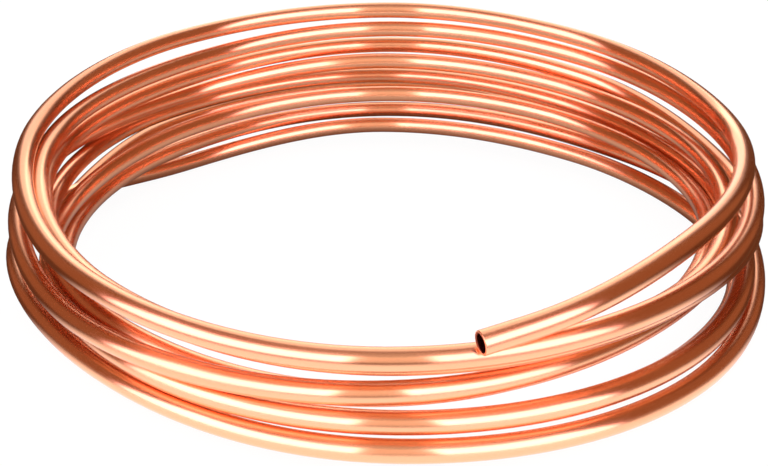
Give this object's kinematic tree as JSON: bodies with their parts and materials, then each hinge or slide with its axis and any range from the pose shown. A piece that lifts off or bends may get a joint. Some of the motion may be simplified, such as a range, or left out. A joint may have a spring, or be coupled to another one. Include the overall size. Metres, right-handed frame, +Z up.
{
  "type": "copper tube coil",
  "caption": "Loose springy coil of soft copper tube lying flat, with one open cut end on top at the front and the other low at the outside.",
  "frame": {"origin": "on the floor, under the middle of the coil's bounding box", "axes": "+Z up, along the coil's axis; the coil lies flat on Z = 0, and its upper cut end is at the front, -Y, a little to the +X side"},
  "size_m": [0.2542, 0.264, 0.0629],
  "materials": {
    "copper": "polished bright copper"
  },
  "bodies": {
    "root": {"copper_tube": "copper"}
  },
  "joints": []
}
